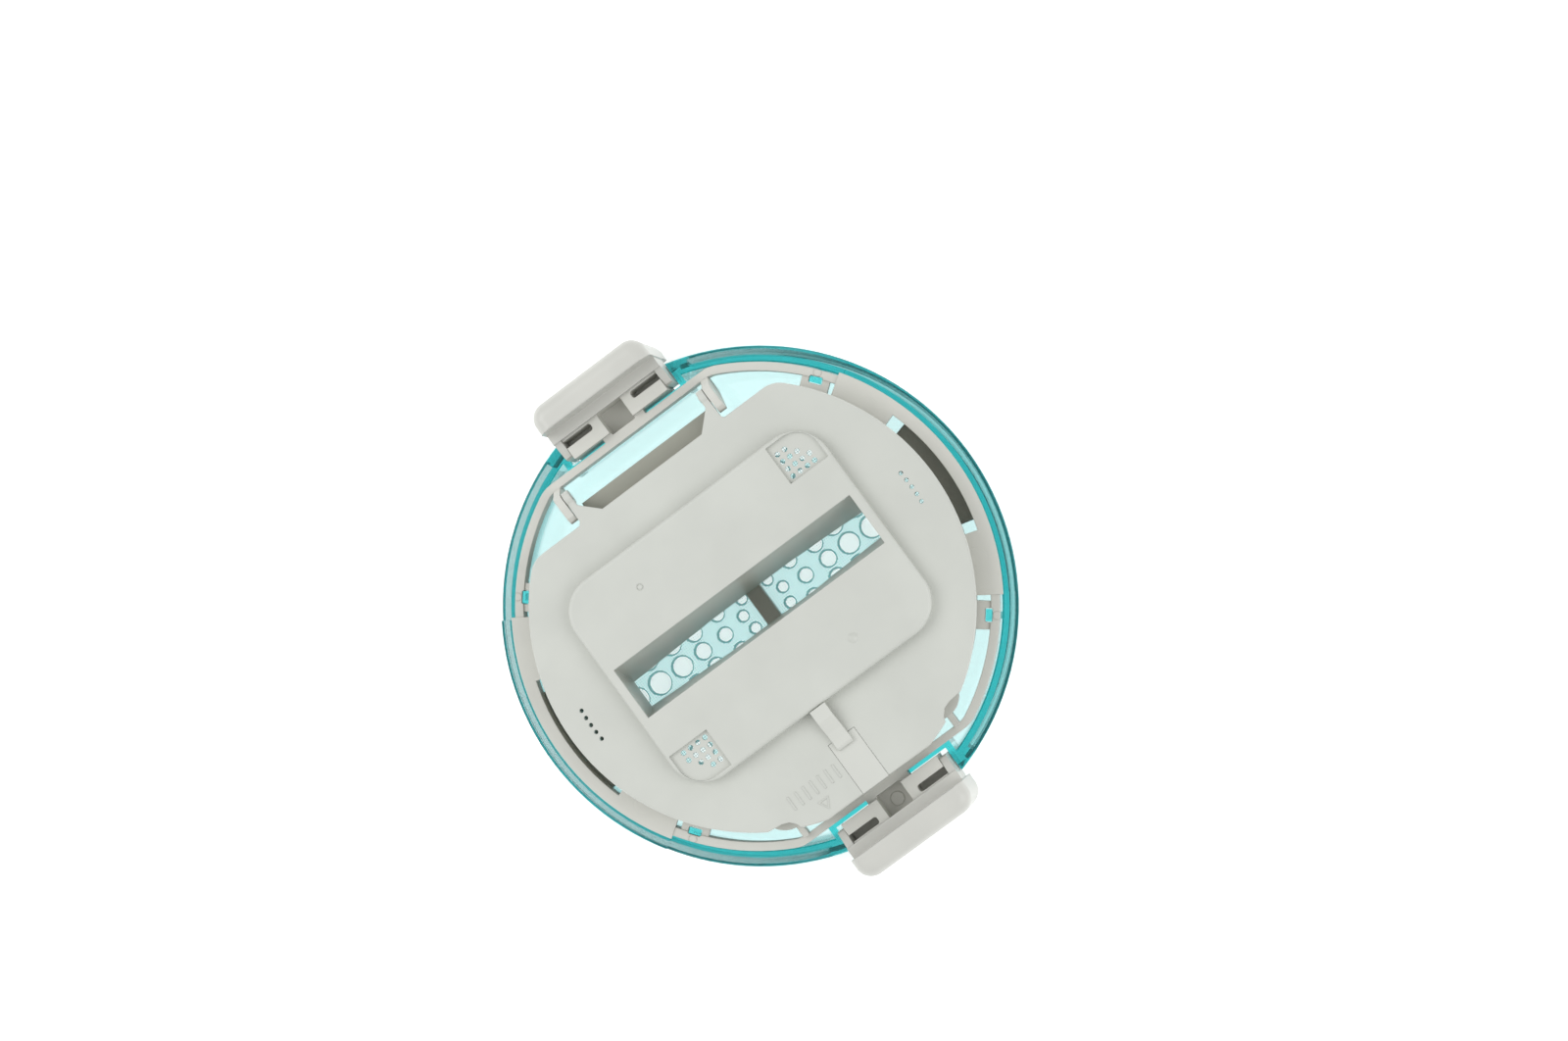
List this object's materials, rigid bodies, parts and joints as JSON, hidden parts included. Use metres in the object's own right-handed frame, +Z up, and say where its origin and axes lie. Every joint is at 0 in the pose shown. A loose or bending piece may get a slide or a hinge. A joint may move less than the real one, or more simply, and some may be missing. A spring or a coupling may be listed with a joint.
{
  "type": "pool cleaner filter canister",
  "caption": "Round debris filter canister of a robotic pool cleaner, with a hinged inlet door, clear strainer shell and two sprung side latches.",
  "frame": {"origin": "centre of the canister on the plane its strainer floor stands on", "axes": "+Z up out of the inlet door along the canister's axis, +X along the inlet slot, +Y towards the door hinge and through the two side latches"},
  "size_m": [0.24, 0.2634, 0.06],
  "materials": {
    "clear_teal": "clear teal tinted plastic",
    "grey_frame": "light warm grey moulded plastic, fine satin",
    "grey_basket": "grey moulded plastic, satin",
    "grey_screen_frame": "grey moulded plastic, satin",
    "screen_mesh": "fine woven filter screen",
    "grey_door": "light warm grey moulded plastic, fine satin",
    "grey_duct": "light warm grey moulded plastic, fine satin",
    "grey_catch": "light grey moulded plastic, smooth",
    "grey_lever": "light warm grey moulded plastic, smooth",
    "pin_steel": "drawn stainless steel",
    "spring_steel": "stainless spring wire"
  },
  "bodies": {
    "canister": {"strainer_shell": "clear_teal", "filter_frame": "grey_frame", "debris_basket": "grey_basket", "screen_frame": "grey_screen_frame", "filter_screen_left": "screen_mesh", "filter_screen_right": "screen_mesh", "hinge_pin_left": "pin_steel", "hinge_pin_right": "pin_steel", "latch_pin_hinge_side": "pin_steel", "latch_pin_catch_side": "pin_steel"},
    "door": {"door_plate": "grey_door", "inlet_duct": "grey_duct"},
    "catch": {"door_catch": "grey_catch"},
    "hinge_side_latch": {"latch_lever_hinge_side": "grey_lever", "latch_spring_hinge_side": "spring_steel"},
    "catch_side_latch": {"latch_lever_catch_side": "grey_lever", "latch_spring_catch_side": "spring_steel"}
  },
  "joints": [
    {"name": "door_hinge", "type": "hinge", "parent": "canister", "child": "door", "pos_m": [0, 0.0896, 0.0508], "axis": [-1, 0, 0], "range_deg": [0, 110]},
    {"name": "catch_slide", "type": "slide", "parent": "door", "child": "catch", "axis": [0, -1, 0], "range_m": [0, 0.003], "stiffness_N_per_m": 300, "springref_m": -0.002},
    {"name": "hinge_side_latch_pivot", "type": "hinge", "parent": "canister", "child": "hinge_side_latch", "pos_m": [0, 0.1114, 0.0225], "axis": [1, 0, 0], "range_deg": [0, 8], "stiffness_Nm_per_rad": 0.6, "springref_deg": -8.59, "deforming": ["latch_spring_hinge_side"]},
    {"name": "catch_side_latch_pivot", "type": "hinge", "parent": "canister", "child": "catch_side_latch", "pos_m": [0, -0.1114, 0.0225], "axis": [-1, 0, 0], "range_deg": [0, 8], "stiffness_Nm_per_rad": 0.6, "springref_deg": -8.59, "deforming": ["latch_spring_catch_side"]}
  ]
}
